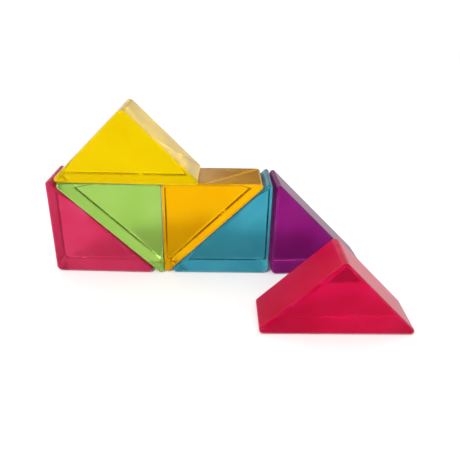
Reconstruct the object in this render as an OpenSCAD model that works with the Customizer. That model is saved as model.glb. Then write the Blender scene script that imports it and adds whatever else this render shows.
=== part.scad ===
// Seven loose, solid, clear-tinted building blocks. Each is the same right-angled
// triangular prism with two equal sides and rounded edges. Two pairs stand as squares
// in a row with a fifth block at the end, one block lies on top and one lies in front.
// +X runs along the row, +Y away from the viewer, +Z up. The origin is on the ground,
// under the middle of the whole group.

/* [Block] */
// Length of each of the two equal sides
leg = 50; // [30:1:80]
// Distance between the two triangular faces
thickness = 24; // [14:0.5:40]
// Radius of the edge at the right angle
square_edge_r = 2.5; // [1.6:0.1:5]
// Radius of the two sharp edges and of the rims of the triangular faces
rim_r = 1.5; // [0.8:0.1:1.5]

/* [Spacing] */
// Least clearance between blocks that lean on each other
gap = 0.15; // [0.05:0.05:1]
// Clearance between the two squares of the row
middle_gap = 0.35; // [0.05:0.05:3]
// Height of the top block above the blocks that it rests on
rest_gap = 0.05; // [0:0.01:0.5]

/* [How each block was set down] */
// Turn of the pink block about the vertical
pink_turn = -2.4; // [-5:0.1:5]
// Distance of the pink block's front behind the orange one's
pink_back = 0.3; // [-3:0.1:3]
// Turn of the green block
green_turn = 1.3; // [-5:0.1:5]
// Distance of the green block's front behind the orange one's
green_back = -1.1; // [-3:0.1:3]
// Turn of the orange block
orange_turn = -0.8; // [-5:0.1:5]
// Turn of the teal block
teal_turn = -0.8; // [-5:0.1:5]
// Distance of the teal block's front behind the orange one's
teal_back = -0.6; // [-3:0.1:3]
// Turn of the purple block
purple_turn = 3.3; // [-5:0.1:5]
// Distance of the purple block's front behind the orange one's
purple_back = -0.8; // [-3:0.1:3]
// Turn of the yellow block
yellow_turn = -2.1; // [-5:0.1:5]
// Distance of the yellow block's middle left of the joint between the squares, in legs
yellow_left = 0.315; // [0:0.005:0.5]
// Distance of the yellow block's middle in front of the orange one's
yellow_front = 1.4; // [-5:0.1:5]
// Turn of the red block
red_turn = -0.8; // [-20:0.1:20]
// Distance of the red block's middle right of the joint between the squares, in legs
red_right = 1.54; // [1.2:0.01:2.5]
// Distance of the red block's middle in front of the orange one's, in legs
red_front = 1.01; // [0.8:0.01:3]

/* [Hidden] */
$fn = 24;

half = leg / 2;
rim_y = thickness / 2 - rim_r;

// Edges of a block, seen on its triangular face with the face's square corner at the
// lower left and the middle of the long side at the origin: centre across, centre up, radius.
square_at = square_edge_r - half;
sharp_at = half - rim_r * (1 + sqrt(2));
EDGES = [
    [square_at, square_at, square_edge_r],
    [sharp_at, rim_r - half, rim_r],
    [rim_r - half, sharp_at, rim_r],
];

// Angle that each way of standing turns the face through, anticlockwise from the front.
SQUARE_LOWER_LEFT = 0;
SQUARE_LOWER_RIGHT = 90;
SQUARE_UPPER_RIGHT = 180;
SQUARE_UPPER_LEFT = 270;
LONG_SIDE_DOWN = 225;

// A block that stands on a sharp edge slides down until its rounded tip meets the ground.
tip_drop = sqrt(2) * rim_r;
row_top = leg - tip_drop;

// Room that two neighbours need when one is turned against the other.
function lean(turn_a, turn_b) = rim_y * abs(sin(turn_a - turn_b));

// Left side of each block of the row, from the joint between the two squares.
green_x = -leg - middle_gap - lean(green_turn, orange_turn);
pink_x = green_x - tip_drop - sqrt(2) * gap - lean(pink_turn, green_turn);
teal_x = tip_drop + sqrt(2) * gap + lean(orange_turn, teal_turn);
purple_x = teal_x + leg + gap + lean(teal_turn, purple_turn);

// Middle of each block's long side, how it stands and how it is turned.
PINK = [[pink_x + half, pink_back, half], SQUARE_LOWER_LEFT, pink_turn];
GREEN = [[green_x + half, green_back, half - tip_drop], SQUARE_UPPER_RIGHT, green_turn];
ORANGE = [[half, 0, half - tip_drop], SQUARE_UPPER_LEFT, orange_turn];
TEAL = [[teal_x + half, teal_back, half], SQUARE_LOWER_RIGHT, teal_turn];
PURPLE = [[purple_x + half, purple_back, half], SQUARE_LOWER_LEFT, purple_turn];
YELLOW = [[-yellow_left * leg, -yellow_front, row_top + rest_gap], LONG_SIDE_DOWN, yellow_turn];
RED = [[red_right * leg, -red_front * leg, 0], LONG_SIDE_DOWN, red_turn];
BLOCKS = [PINK, GREEN, ORANGE, TEAL, PURPLE, YELLOW, RED];

// Furthest that a block reaches along a level direction, side being +1 or -1.
function across(edge, stand) = edge[0] * cos(stand) - edge[1] * sin(stand);
function reach_x(block, side) = max([
    for (edge = EDGES)
        side * (block[0][0] + across(edge, block[1]) * cos(block[2]))
            + rim_y * abs(sin(block[2]))
            + (edge[2] - rim_r) * abs(cos(block[2])) + rim_r
]);
function reach_y(block, side) = max([
    for (edge = EDGES)
        side * (block[0][1] + across(edge, block[1]) * sin(block[2]))
            + rim_y * abs(cos(block[2]))
            + (edge[2] - rim_r) * abs(sin(block[2])) + rim_r
]);
function middle_x() = (max([for (b = BLOCKS) reach_x(b, 1)]) - max([for (b = BLOCKS) reach_x(b, -1)])) / 2;
function middle_y() = (max([for (b = BLOCKS) reach_y(b, 1)]) - max([for (b = BLOCKS) reach_y(b, -1)])) / 2;

// The rounded rim of a triangular face where it turns round an edge of the block.
module rim_corner(edge) {
    translate([edge[0], edge[1], 0])
        rotate_extrude()
            intersection() {
                translate([edge[2] - rim_r, 0])
                    circle(rim_r);
                translate([0, -rim_r])
                    square([edge[2], 2 * rim_r]);
            }
}

// A whole block with its faces level and its middle at the origin.
module lying_block() {
    hull()
        for (face = [-1, 1])
            translate([0, 0, face * rim_y])
                for (edge = EDGES)
                    rim_corner(edge);
}

// A block stood up and put in its place in the group.
module placed(block) {
    translate(block[0] - [middle_x(), middle_y(), 0])
        rotate([0, 0, block[2]])
            rotate([0, -block[1], 0])
                rotate([90, 0, 0])
                    lying_block();
}

module pink_block() {
    color([0.83, 0.20, 0.35, 0.8])
        placed(PINK);
}

module green_block() {
    color([0.56, 0.74, 0.30, 0.8])
        placed(GREEN);
}

module orange_block() {
    color([0.96, 0.68, 0.05, 0.8])
        placed(ORANGE);
}

module teal_block() {
    color([0.12, 0.56, 0.68, 0.8])
        placed(TEAL);
}

module purple_block() {
    color([0.50, 0.05, 0.42, 0.8])
        placed(PURPLE);
}

module yellow_block() {
    color([0.94, 0.80, 0.05, 0.8])
        placed(YELLOW);
}

module red_block() {
    color([0.80, 0.04, 0.22, 0.8])
        placed(RED);
}

pink_block();
green_block();
orange_block();
teal_block();
purple_block();
yellow_block();
red_block();
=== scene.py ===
import math

import bmesh
import bpy
from mathutils import Euler, Matrix, Vector


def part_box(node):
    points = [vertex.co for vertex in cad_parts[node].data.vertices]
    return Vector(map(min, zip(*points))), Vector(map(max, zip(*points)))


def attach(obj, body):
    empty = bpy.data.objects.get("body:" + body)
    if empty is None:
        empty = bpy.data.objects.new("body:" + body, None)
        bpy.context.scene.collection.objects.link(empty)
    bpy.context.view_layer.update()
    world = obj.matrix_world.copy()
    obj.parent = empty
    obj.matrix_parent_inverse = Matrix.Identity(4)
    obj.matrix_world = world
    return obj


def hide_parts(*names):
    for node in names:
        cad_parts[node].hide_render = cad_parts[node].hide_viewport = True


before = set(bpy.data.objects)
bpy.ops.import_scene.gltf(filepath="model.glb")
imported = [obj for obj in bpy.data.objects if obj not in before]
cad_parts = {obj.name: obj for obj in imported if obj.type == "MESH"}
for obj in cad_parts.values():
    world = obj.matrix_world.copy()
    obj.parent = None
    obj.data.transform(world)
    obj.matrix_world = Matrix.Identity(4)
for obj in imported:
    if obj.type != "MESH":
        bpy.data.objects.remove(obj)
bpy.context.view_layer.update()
MM = 0.001

# Size of every block, as in the CAD model.
LEG = 50 * MM
THICKNESS = 24 * MM
SQUARE_EDGE_R = 2.5 * MM
RIM_R = 1.5 * MM

# How the square corner of a block's face lies, as a turn of the face from the front.
SQUARE_LOWER_LEFT = 0
SQUARE_LOWER_RIGHT = 90
SQUARE_UPPER_RIGHT = 180
SQUARE_UPPER_LEFT = 270
LONG_SIDE_DOWN = 225

# Block: how it stands, and its turn about the vertical.
STANDS = {
    "pink": (SQUARE_LOWER_LEFT, -2.4),
    "green": (SQUARE_UPPER_RIGHT, 1.3),
    "orange": (SQUARE_UPPER_LEFT, -0.8),
    "teal": (SQUARE_LOWER_RIGHT, -0.8),
    "purple": (SQUARE_LOWER_LEFT, 3.3),
    "yellow": (LONG_SIDE_DOWN, -2.1),
    "red": (LONG_SIDE_DOWN, -0.8),
}

# Resin: the share of red, green and blue light that comes through a block, how milky
# the resin is, the roughness of its polish, and how much rougher its side faces are.
RESINS = {
    "pink": ((0.63, 0.038, 0.112), 0.25, 0.06, 0.20),
    "green": ((0.32, 0.55, 0.100), 0.05, 0.015, 0.18),
    "orange": ((0.84, 0.41, 0.001), 0.05, 0.015, 0.12),
    "teal": ((0.048, 0.33, 0.44), 0.05, 0.015, 0.20),
    "purple": ((0.24, 0.010, 0.165), 0.05, 0.015, 0.34),
    "yellow": ((0.77, 0.53, 0.001), 0.05, 0.015, 0.12),
    "red": ((0.70, 0.004, 0.068), 0.25, 0.04, 0.28),
}
RESIN_IOR = 1.49
SIDE_HAZE = 0.10           # how much milkier the side faces are than the polished ones

# Fineness of a block's mesh.
RIM_STEPS = 8
CORNER_STEPS = 12
WELD_DISTANCE = 1e-7
FLAT_FACE_WEIGHT = 100

# How much finer detail a noise has.
COARSE, MEDIUM, FINE = 1.0, 2.0, 4.0

# Surface detail, in metres: size of each kind of mark, then its height or depth.
CLOUD = 0.014
SMEAR = 0.006
GRAIN = 0.0004
PATCH = 0.012
CLOUD_HEIGHT = 0.00001
GRAIN_HEIGHT = 0.000001
SCRATCH_DEPTH = 0.000003

# Length, width and turn of each of two sets of scratches.
SCRATCH_SETS = [
    (0.030, 0.00010, (0.3, 0.5, 0.2)),
    (0.020, 0.00008, (1.2, -0.8, 0.9)),
]

# The part of its noise over which each kind of mark sets in.
SCRATCH_RANGE = (0.66, 0.72)
PATCH_RANGE = (0.5, 0.6)
RIM_WEAR_AND_HIGHLIGHT_RANGE = (0.45, 0.65)
TINT_RANGE = (0.35, 0.65)
MILK_RANGE = (0.3, 0.7)
POLISH_RANGE = (0.4, 0.7)

# Sideways lean over which a rim turns into a side face.
SIDE_RANGE = (0.9, 1.0)

# How a cloud, smear, scratch or worn edge differs from plain polished resin. The paler tint on
# worn edges is partly wear and partly a painted rim highlight. A power below 1 makes the tint
# paler and one above 1 makes it deeper.
PALE_POWER = 0.93
DEEP_POWER = 1.06
SCUFFED_AND_HIGHLIT_POWER = 0.6
LEAST_MILK, MOST_MILK = 0.9, 1.1
LEAST_SMEAR, MOST_SMEAR = 0.85, 1.2
SCRATCH_ROUGHNESS = 0.15
WEAR_ROUGHNESS = 0.12
# Paler tint on the rounded edges: partly wear, partly a painted rim highlight.
RIM_WEAR_AND_HIGHLIGHT_PALENESS = 0.6

# Sky: brightness at the horizon and high up, and the sines of those two elevations.
SKY_LOW = 1.35
SKY_HIGH = 0.85
SKY_RANGE = (0.0, 0.8)

# A dark screen in the sky behind the row, which the level faces mirror: its direction,
# its half sizes, where its edge fades as a share of them, and its brightness.
SCREEN_TOWARD = (0.17, 0.90, 0.37)
SCREEN_SIZE = (0.17, 0.50, 0.10)
SCREEN_EDGE = (0.8, 1.2)
SCREEN_SHADE = 0.15

# Light and floor, in metres and watts.
KEY_PLACE = (-1.2, -1.5, 2.25)
KEY_SIZE = 0.8
KEY_POWER = 60
FLOOR_SIZE = 1.8
FLOOR_DROP = 0.0001
FLOOR_WHITE = 0.83
FLOOR_ROUGHNESS = 0.8
LIGHT_BOUNCES = 32

# Camera: lens and sensor in millimetres, place in metres, turns in radians.
SENSOR_WIDTH = 36
LENS = 39.98
CAMERA_PLACE = (-5.896 * MM, -209.234 * MM, 136.845 * MM)
CAMERA_YAW = 0.0461
CAMERA_PITCH = 0.4690
CAMERA_ROLL = 0.0261
NEAREST, FURTHEST = 0.01, 20


# ---------------------------------------------------------------- block shape

def face_corners():
    """Centre, radius and first and last direction of each corner of a block's face."""
    half = LEG / 2
    square = SQUARE_EDGE_R - half
    sharp = half - RIM_R * (1 + math.sqrt(2))
    return [
        (square, square, SQUARE_EDGE_R, 180, 270),
        (sharp, RIM_R - half, RIM_R, 270, 405),
        (RIM_R - half, sharp, RIM_R, 405, 540),
    ]


def ring(inset, depth):
    """Points round a block, drawn in from its sides by inset, at one depth, and how far
    each is into a corner's round: 0 where it meets a flat side, 1 at its middle."""
    points = []
    for across, up, radius, first, last in face_corners():
        for step in range(CORNER_STEPS + 1):
            share = step / CORNER_STEPS
            angle = math.radians(first + (last - first) * share)
            reach = radius - inset
            x = across + reach * math.cos(angle)
            z = up + reach * math.sin(angle)
            points.append((Vector((x, depth, z)), math.sin(math.pi * share)))
    return points


def rim_profile():
    """Inset, depth, sideways lean and roundness of each ring, from front face to back."""
    rim_y = THICKNESS / 2 - RIM_R
    front = []
    for step in range(RIM_STEPS + 1):
        angle = math.radians(90 * step / RIM_STEPS)
        inset = RIM_R - RIM_R * math.sin(angle)
        depth = -rim_y - RIM_R * math.cos(angle)
        front.append((inset, depth, math.sin(angle), math.sin(2 * angle)))
    back = [(inset, -depth, side, edge) for inset, depth, side, edge in reversed(front)]
    return front + back


def block_mesh(name):
    """A solid right-angled prism with rounded edges, its middle at the origin. Each point
    keeps its own place, how far it faces sideways and how far it lies on a rounded edge."""
    bm = bmesh.new()
    own_place = bm.verts.layers.float_vector.new("own_place")
    sideways = bm.verts.layers.float.new("sideways")
    rounded = bm.verts.layers.float.new("rounded")
    rings = []
    for inset, depth, side, edge in rim_profile():
        rings.append([])
        for place, corner in ring(inset, depth):
            vert = bm.verts.new(place)
            vert[own_place] = place
            vert[sideways] = side
            vert[rounded] = max(edge, corner * side)
            rings[-1].append(vert)
    count = len(rings[0])
    for near, far in zip(rings, rings[1:]):
        for i in range(count):
            j = (i + 1) % count
            bm.faces.new((near[i], near[j], far[j], far[i]))
    bm.faces.new(reversed(rings[0]))
    bm.faces.new(rings[-1])
    bmesh.ops.remove_doubles(bm, verts=bm.verts, dist=WELD_DISTANCE)
    bmesh.ops.recalc_face_normals(bm, faces=bm.faces)
    for face in bm.faces:
        face.smooth = True
    mesh = bpy.data.meshes.new(name)
    bm.to_mesh(mesh)
    bm.free()
    return mesh


def extent(mesh):
    """Lowest and highest corner of a mesh."""
    return [Vector([pick(v.co[i] for v in mesh.vertices) for i in range(3)])
            for pick in (min, max)]


def middle(low, high):
    return (Vector(low) + Vector(high)) / 2


def make_block(name, stand, turn, material):
    """A block in its CAD node's place, which it stands for."""
    cad_node = name + "_block"
    piece = bpy.data.objects.new(name + "_resin_block", block_mesh(cad_node))
    bpy.context.collection.objects.link(piece)
    mesh = piece.data
    turned = Euler((0, math.radians(-stand), math.radians(turn)))
    mesh.transform(turned.to_matrix().to_4x4())
    mesh.transform(Matrix.Translation(middle(*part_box(cad_node)) - middle(*extent(mesh))))
    piece.data.materials.append(material)
    weighted = piece.modifiers.new("flat_faces", "WEIGHTED_NORMAL")
    weighted.weight = FLAT_FACE_WEIGHT
    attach(piece, name)
    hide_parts(cad_node)


# ------------------------------------------------------------------ materials

def node(tree, kind, settings=(), inputs=()):
    """A shader node with its settings and its inputs, each a value or another's output."""
    made = tree.nodes.new("ShaderNode" + kind)
    for name, value in dict(settings).items():
        setattr(made, name, value)
    for key, value in dict(inputs).items():
        if isinstance(value, bpy.types.NodeSocket):
            tree.links.new(value, made.inputs[key])
        else:
            made.inputs[key].default_value = value
    return made


def calc(tree, operation, first, second):
    """The result of a sum on two numbers."""
    return node(tree, "Math", {"operation": operation}, {0: first, 1: second}).outputs[0]


def vector_calc(tree, operation, first, second):
    """The result of a sum on two vectors, part by part."""
    return node(tree, "VectorMath", {"operation": operation}, {0: first, 1: second}).outputs[0]


def between(tree, value, across, start=0, end=1):
    """start where value is at the low end of across, end at its high end, and a straight
    change from one to the other."""
    low, high = across
    made = node(tree, "MapRange", (), {0: value, 1: low, 2: high, 3: start, 4: end})
    return made.outputs[0]


def mix(tree, share, first, second):
    """A colour from first to second."""
    return node(tree, "Mix", {"data_type": "RGBA"}, {0: share, 6: first, 7: second}).outputs[2]


def noise(tree, place, grains, detail, shift):
    """Noise from 0 to 1, with grains of about the given sizes in metres along X, Y and Z."""
    scale = [1 / size for size in grains]
    moved = node(tree, "Mapping", (), {0: place, 1: shift, 3: scale})
    settings = {"Vector": moved.outputs[0], "Scale": 1.0, "Detail": detail}
    return node(tree, "TexNoise", (), settings).outputs["Fac"]


def even_noise(tree, place, grain, detail, shift):
    """Noise with grains of one size in every direction."""
    return noise(tree, place, (grain, grain, grain), detail, shift)


def hairlines(tree, place, length, width, turn, shift):
    """Sparse straight scratches: 1 on a scratch and 0 elsewhere."""
    turned = node(tree, "VectorRotate", {"rotation_type": "EULER_XYZ"}, {0: place, 4: turn})
    lines = noise(tree, turned.outputs[0], (length, width, width), COARSE, shift)
    patches = even_noise(tree, place, PATCH, COARSE, shift)
    on_line = between(tree, lines, SCRATCH_RANGE)
    return calc(tree, "MULTIPLY", on_line, between(tree, patches, PATCH_RANGE))


def tinted(through, power):
    """The colour of light that comes through, made paler or deeper."""
    return [share ** power for share in through] + [1]


def tinted_resin(name, through, haze, polish, satin, shift):
    """Clear tinted cast resin: polished front and back, sides a little satin, edges worn and
    tinted paler as a painted rim highlight.
    """
    material = bpy.data.materials.new(name)
    material.use_nodes = True
    tree = material.node_tree
    shader = tree.nodes["Principled BSDF"]

    def read(attribute, output="Fac"):
        return node(tree, "Attribute", {"attribute_name": attribute}).outputs[output]

    place = read("own_place", "Vector")
    side = between(tree, read("sideways"), SIDE_RANGE)
    edge = read("rounded")

    clouds = even_noise(tree, place, CLOUD, MEDIUM, shift)
    grain = even_noise(tree, place, GRAIN, MEDIUM, shift)
    smears = even_noise(tree, place, SMEAR, FINE, shift)
    long_set, short_set = [hairlines(tree, place, *marks, shift) for marks in SCRATCH_SETS]
    scratches = calc(tree, "MAXIMUM", long_set, short_set)
    # Patches on the rounded edges: rougher with wear, and paler in colour as a painted rim
    # highlight.
    rim_wear_and_highlight = calc(tree, "MULTIPLY", edge, between(tree, smears, RIM_WEAR_AND_HIGHLIGHT_RANGE))

    cloudiness = between(tree, clouds, TINT_RANGE)
    tint = mix(tree, cloudiness, tinted(through, DEEP_POWER), tinted(through, PALE_POWER))
    # The paler edge tint is partly wear and partly a painted rim highlight.
    wear_and_highlight_paleness = calc(tree, "MULTIPLY", rim_wear_and_highlight, RIM_WEAR_AND_HIGHLIGHT_PALENESS)
    worn_and_highlit_tint = mix(tree, wear_and_highlight_paleness, tint, tinted(through, SCUFFED_AND_HIGHLIT_POWER))
    tree.links.new(worn_and_highlit_tint, shader.inputs["Base Color"])

    rough = between(tree, smears, POLISH_RANGE, polish * LEAST_SMEAR, polish * MOST_SMEAR)
    for mark, roughness in ((side, satin), (scratches, SCRATCH_ROUGHNESS), (rim_wear_and_highlight, WEAR_ROUGHNESS)):
        rough = calc(tree, "ADD", rough, calc(tree, "MULTIPLY", mark, roughness))
    tree.links.new(rough, shader.inputs["Roughness"])

    milk = between(tree, clouds, MILK_RANGE, haze * LEAST_MILK, haze * MOST_MILK)
    milk = calc(tree, "ADD", milk, calc(tree, "MULTIPLY", side, SIDE_HAZE))
    tree.links.new(calc(tree, "SUBTRACT", 1.0, milk), shader.inputs["Transmission Weight"])

    bumps = calc(tree, "MULTIPLY", clouds, CLOUD_HEIGHT)
    bumps = calc(tree, "SUBTRACT", bumps, calc(tree, "MULTIPLY", scratches, SCRATCH_DEPTH))
    side_bumps = calc(tree, "MULTIPLY", grain, calc(tree, "MULTIPLY", side, GRAIN_HEIGHT))
    height = calc(tree, "ADD", bumps, side_bumps)
    bump = node(tree, "Bump", (), {"Strength": 1.0, "Distance": 1.0, "Height": height})
    tree.links.new(bump.outputs[0], shader.inputs["Normal"])

    shader.inputs["IOR"].default_value = RESIN_IOR
    shader.inputs["Specular Tint"].default_value = tinted(through, 1)
    return material


# ---------------------------------------------------------------------- stage

def make_floor():
    bpy.ops.mesh.primitive_plane_add(size=FLOOR_SIZE, location=(0, 0, -FLOOR_DROP))
    floor = bpy.context.object
    floor.name = "floor"
    material = bpy.data.materials.new("floor_white")
    material.use_nodes = True
    shader = material.node_tree.nodes["Principled BSDF"]
    shader.inputs["Base Color"].default_value = (FLOOR_WHITE, FLOOR_WHITE, FLOOR_WHITE, 1)
    shader.inputs["Roughness"].default_value = FLOOR_ROUGHNESS
    floor.data.materials.append(material)


def make_key_light():
    """A soft light from high up on the left in front, aimed at the blocks."""
    data = bpy.data.lights.new("key", "AREA")
    data.shape = "SQUARE"
    data.size = KEY_SIZE
    data.energy = KEY_POWER
    light = bpy.data.objects.new("key", data)
    bpy.context.collection.objects.link(light)
    light.location = KEY_PLACE
    light.rotation_euler = (-Vector(KEY_PLACE)).to_track_quat("-Z", "Y").to_euler()


def make_world():
    """A white sky, brightest at the horizon, with the dark screen in it."""
    world = bpy.data.worlds.new("soft_room")
    world.use_nodes = True
    tree = world.node_tree
    background = tree.nodes["Background"]
    background.inputs["Color"].default_value = (1, 1, 1, 1)
    toward = node(tree, "TexCoord").outputs["Generated"]
    height = node(tree, "SeparateXYZ", (), {0: toward}).outputs["Z"]
    sky = between(tree, height, SKY_RANGE, SKY_LOW, SKY_HIGH)
    offset = vector_calc(tree, "SUBTRACT", toward, SCREEN_TOWARD)
    scaled = vector_calc(tree, "DIVIDE", offset, SCREEN_SIZE)
    away = node(tree, "VectorMath", {"operation": "LENGTH"}, {0: scaled}).outputs["Value"]
    screen = between(tree, away, SCREEN_EDGE, SCREEN_SHADE, 1.0)
    tree.links.new(calc(tree, "MULTIPLY", sky, screen), background.inputs["Strength"])
    bpy.context.scene.world = world


def make_camera():
    data = bpy.data.cameras.new("camera")
    data.sensor_width = SENSOR_WIDTH
    data.lens = LENS
    data.clip_start = NEAREST
    data.clip_end = FURTHEST
    camera = bpy.data.objects.new("camera", data)
    bpy.context.collection.objects.link(camera)
    level = math.cos(CAMERA_PITCH)
    forward = Vector((
        math.sin(CAMERA_YAW) * level,
        math.cos(CAMERA_YAW) * level,
        -math.sin(CAMERA_PITCH),
    ))
    right = Vector((math.cos(CAMERA_YAW), -math.sin(CAMERA_YAW), 0))
    up = right.cross(forward)
    across = right * math.cos(CAMERA_ROLL) + up * math.sin(CAMERA_ROLL)
    upward = up * math.cos(CAMERA_ROLL) - right * math.sin(CAMERA_ROLL)
    x, y, z = CAMERA_PLACE
    camera.matrix_world = Matrix((
        (across.x, upward.x, -forward.x, x),
        (across.y, upward.y, -forward.y, y),
        (across.z, upward.z, -forward.z, z),
        (0, 0, 0, 1),
    ))
    bpy.context.scene.camera = camera


make_camera()
make_world()
make_floor()
make_key_light()
for index, (name, (stand, turn)) in enumerate(STANDS.items()):
    marks_shift = (index, 2 * index, 3 * index)
    resin = tinted_resin(name + "_resin", *RESINS[name], marks_shift)
    make_block(name, stand, turn, resin)
cycles = bpy.context.scene.cycles
cycles.max_bounces = LIGHT_BOUNCES
cycles.transmission_bounces = LIGHT_BOUNCES
cycles.glossy_bounces = LIGHT_BOUNCES
bpy.context.scene.view_settings.view_transform = "Standard"

bpy.context.view_layer.update()
